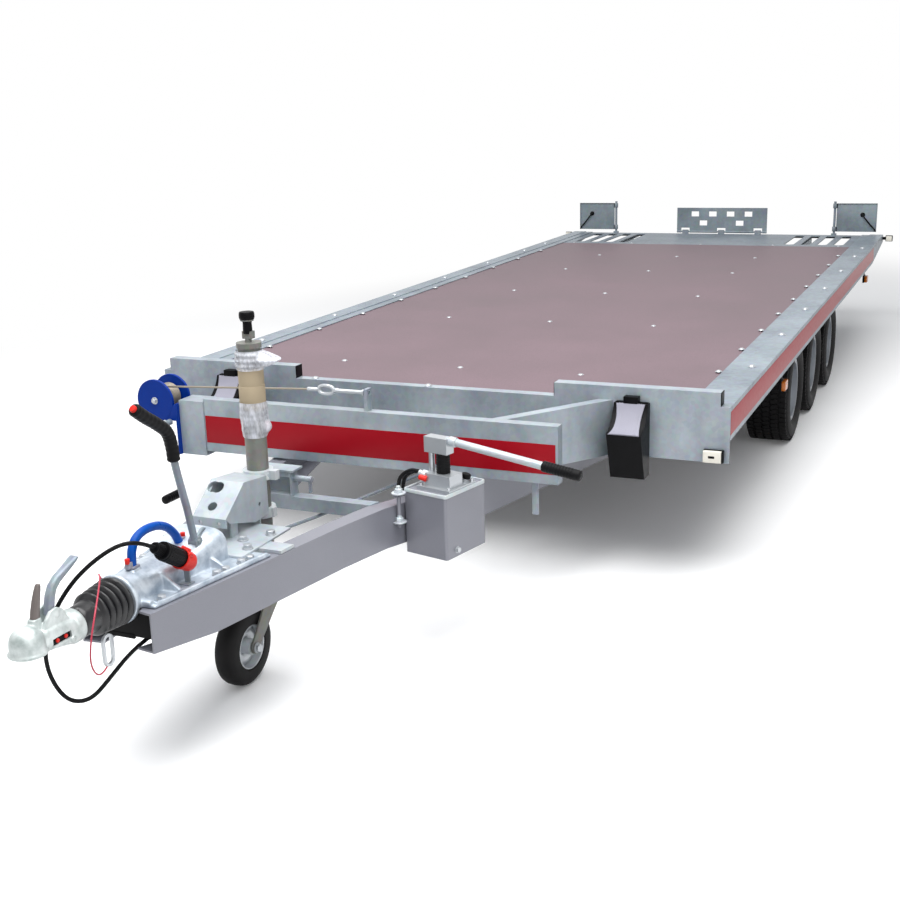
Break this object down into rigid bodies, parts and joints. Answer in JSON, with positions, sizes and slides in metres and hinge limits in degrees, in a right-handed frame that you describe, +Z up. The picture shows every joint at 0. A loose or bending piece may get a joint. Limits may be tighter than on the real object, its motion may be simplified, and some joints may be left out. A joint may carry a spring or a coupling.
{
  "type": "tilt-bed car transporter trailer",
  "caption": "Three-axle tilting flatbed car transporter trailer with drawbar, overrun coupling, jockey wheel, hand winch and hand pump.",
  "frame": {"origin": "centre of the bounding box at ground level, on the trailer's centre line", "axes": "+Z up, +Y to the rear (the drawbar points to -Y), +X to the trailer's left side"},
  "size_m": [2.254, 7.035, 1.014],
  "materials": {
    "galvanised": "satin hot-dip zinc",
    "silver_paint": "satin",
    "cast_zinc": "satin",
    "bright_steel": "satin",
    "black_rubber": "matte",
    "tyre_rubber": "matte",
    "rim_steel": "satin",
    "black_plastic": "matte",
    "red_plastic": "semi gloss",
    "blue_plastic": "semi gloss",
    "blue_paint": "gloss",
    "deck_plywood": "film-faced, anti-slip",
    "aluminium_plate": "mill finish",
    "steel_rope": "satin",
    "red_cable": "semi gloss",
    "cardboard": "matte",
    "marker_lens": "gloss"
  },
  "bodies": {
    "chassis": {"drawbar_arms": "silver_paint", "chassis_rails": "silver_paint", "crossmembers": "galvanised", "overrun_housing": "cast_zinc", "bellows": "black_rubber", "coupling_head": "cast_zinc", "coupling_handle": "galvanised", "handbrake_lever": "galvanised", "grab_handle": "blue_plastic", "jockey_bracket": "galvanised", "jockey_clamps": "galvanised", "pump_tank": "silver_paint", "pump_body": "galvanised", "pump_lever": "bright_steel", "axles": "galvanised", "brake_linkage": "galvanised", "hydraulic_hoses": "black_rubber", "power_cable": "black_rubber", "power_plug": "black_plastic", "plug_holder": "red_plastic", "breakaway_cable": "red_cable", "carabiner": "bright_steel"},
    "jockey_tube": {"jockey_tube": "galvanised", "transit_sleeve": "cardboard"},
    "jockey_leg": {"jockey_leg": "galvanised"},
    "jockey_fork": {"jockey_fork": "galvanised"},
    "jockey_wheel": {"jockey_rim": "galvanised", "jockey_tyre": "tyre_rubber"},
    "bed": {"side_rails": "galvanised", "front_crossmember": "galvanised", "winch_beam": "galvanised", "bed_beams": "galvanised", "bed_bearers": "galvanised", "deck_board": "deck_plywood", "rear_plate": "aluminium_plate", "wheel_chocks": "black_plastic", "winch_frame": "blue_paint", "winch_cable": "steel_rope", "winch_crank": "bright_steel", "marker_lamps": "marker_lens"},
    "plate_carrier": {"plate_carrier": "galvanised"},
    "light_board_left": {"light_board_left": "galvanised"},
    "light_board_right": {"light_board_right": "galvanised"},
    "cylinder_barrel": {"cylinder_barrel": "silver_paint"},
    "cylinder_rod": {"cylinder_rod": "bright_steel"},
    "wheel_1_left": {"wheel_1_left_rim": "rim_steel", "wheel_1_left_tyre": "tyre_rubber"},
    "wheel_1_right": {"wheel_1_right_rim": "rim_steel", "wheel_1_right_tyre": "tyre_rubber"},
    "wheel_2_left": {"wheel_2_left_rim": "rim_steel", "wheel_2_left_tyre": "tyre_rubber"},
    "wheel_2_right": {"wheel_2_right_rim": "rim_steel", "wheel_2_right_tyre": "tyre_rubber"},
    "wheel_3_left": {"wheel_3_left_rim": "rim_steel", "wheel_3_left_tyre": "tyre_rubber"},
    "wheel_3_right": {"wheel_3_right_rim": "rim_steel", "wheel_3_right_tyre": "tyre_rubber"}
  },
  "joints": [
    {"name": "bed_tilt", "type": "hinge", "parent": "chassis", "child": "bed", "pos_m": [0, 1.5695, 0.346], "axis": [-1, 0, 0], "range_deg": [0, 15]},
    {"name": "cylinder_swing", "type": "hinge", "parent": "chassis", "child": "cylinder_barrel", "pos_m": [0, -1.0805, 0.336], "axis": [1, 0, 0], "range_deg": [0, 24.89]},
    {"name": "cylinder_stroke", "type": "slide", "parent": "cylinder_barrel", "child": "cylinder_rod", "axis": [0, 0.9871, 0.1604], "range_m": [0, 0.2694]},
    {"name": "jockey_clamp_slide", "type": "slide", "parent": "chassis", "child": "jockey_tube", "axis": [0, 0, 1], "range_m": [0, 0.07]},
    {"name": "jockey_screw", "type": "slide", "parent": "jockey_tube", "child": "jockey_leg", "axis": [0, 0, 1], "range_m": [-0.15, 0.01]},
    {"name": "jockey_swivel", "type": "hinge", "parent": "jockey_leg", "child": "jockey_fork", "pos_m": [-0.025, -2.5305, 0.27], "axis": [0, 0, 1], "continuous": true},
    {"name": "jockey_wheel_spin", "type": "hinge", "parent": "jockey_fork", "child": "jockey_wheel", "pos_m": [-0.025, -2.6685, 0.11], "axis": [1, 0, 0], "continuous": true},
    {"name": "plate_carrier_fold", "type": "hinge", "parent": "bed", "child": "plate_carrier", "pos_m": [0, 3.4525, 0.6], "axis": [1, 0, 0], "range_deg": [0, 90]},
    {"name": "light_board_left_swing", "type": "hinge", "parent": "bed", "child": "light_board_left", "pos_m": [0.752, 3.4525, 0.62], "axis": [0, 0, 1], "range_deg": [0, 90]},
    {"name": "light_board_right_swing", "type": "hinge", "parent": "bed", "child": "light_board_right", "pos_m": [-0.752, 3.4525, 0.62], "axis": [0, 0, -1], "range_deg": [0, 90]},
    {"name": "wheel_1_left_spin", "type": "hinge", "parent": "chassis", "child": "wheel_1_left", "pos_m": [0.9025, 0.3255, 0.234], "axis": [1, 0, 0], "continuous": true},
    {"name": "wheel_1_right_spin", "type": "hinge", "parent": "chassis", "child": "wheel_1_right", "pos_m": [-0.9025, 0.3255, 0.234], "axis": [1, 0, 0], "continuous": true},
    {"name": "wheel_2_left_spin", "type": "hinge", "parent": "chassis", "child": "wheel_2_left", "pos_m": [0.9025, 0.9145, 0.234], "axis": [1, 0, 0], "continuous": true},
    {"name": "wheel_2_right_spin", "type": "hinge", "parent": "chassis", "child": "wheel_2_right", "pos_m": [-0.9025, 0.9145, 0.234], "axis": [1, 0, 0], "continuous": true},
    {"name": "wheel_3_left_spin", "type": "hinge", "parent": "chassis", "child": "wheel_3_left", "pos_m": [0.9025, 1.5035, 0.234], "axis": [1, 0, 0], "continuous": true},
    {"name": "wheel_3_right_spin", "type": "hinge", "parent": "chassis", "child": "wheel_3_right", "pos_m": [-0.9025, 1.5035, 0.234], "axis": [1, 0, 0], "continuous": true}
  ],
  "couplings": [
    {"joint": "cylinder_swing", "follows": "bed_tilt", "ratio": 1.6562},
    {"joint": "cylinder_stroke", "follows": "bed_tilt", "m_per_rad": 1.0271}
  ]
}
